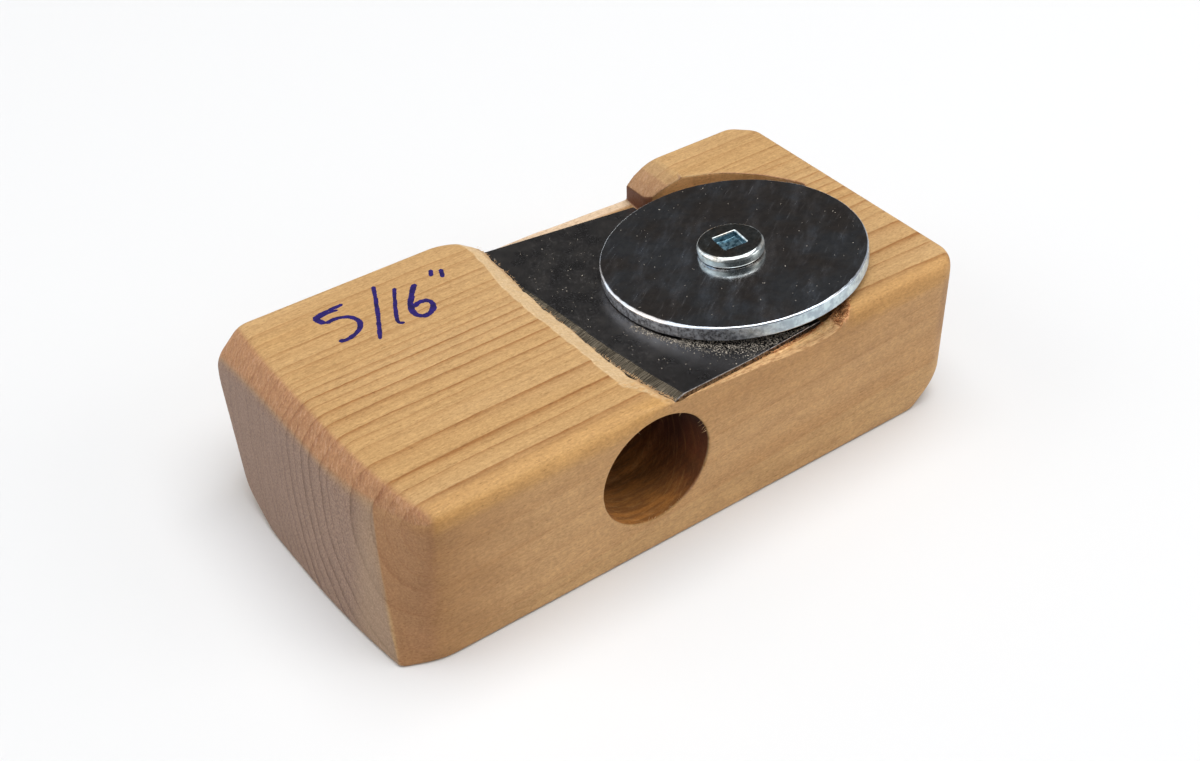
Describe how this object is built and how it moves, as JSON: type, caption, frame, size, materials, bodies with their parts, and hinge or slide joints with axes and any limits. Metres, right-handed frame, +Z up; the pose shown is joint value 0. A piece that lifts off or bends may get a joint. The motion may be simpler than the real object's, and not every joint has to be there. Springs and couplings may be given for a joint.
{
  "type": "dowel maker",
  "caption": "Shop-made dowel maker: wooden block with a stepped cross bore, a bevelled steel blade bedded over it, and a broad washer and screw that clamp the blade.",
  "frame": {"origin": "middle of the block's underside", "axes": "+X along the block towards the screw, +Y along the cross bore from the entry side to the exit side, +Z up"},
  "size_m": [0.0794, 0.0406, 0.0229],
  "materials": {
    "wood": "unfinished, orange-tan with ring lines along the block",
    "blade_steel": "dark, smooth, with fine grinding lines on the bevel",
    "washer_zinc": "bright zinc plate, lightly scratched",
    "screw_zinc": "bright zinc plate"
  },
  "bodies": {
    "block": {"block": "wood"},
    "blade": {"blade": "blade_steel"},
    "washer": {"washer": "washer_zinc"},
    "screw": {"screw": "screw_zinc"}
  },
  "joints": [
    {"name": "blade_slide", "type": "slide", "parent": "block", "child": "blade", "axis": [0.9994, 0, -0.0349], "range_m": [-0.0004, 0.0006]},
    {"name": "washer_lift", "type": "slide", "parent": "block", "child": "washer", "axis": [-0.0745, 0.0875, 0.9934], "range_m": [0, 0.00338]},
    {"name": "screw_turn", "type": "hinge", "parent": "washer", "child": "screw", "pos_m": [0.01806, -0.00365, 0.01933], "axis": [-0.0745, 0.0875, 0.9934], "range_deg": [0, 720]}
  ],
  "couplings": [
    {"joint": "screw_turn", "follows": "washer_lift", "rad_per_m": 3717.8}
  ]
}
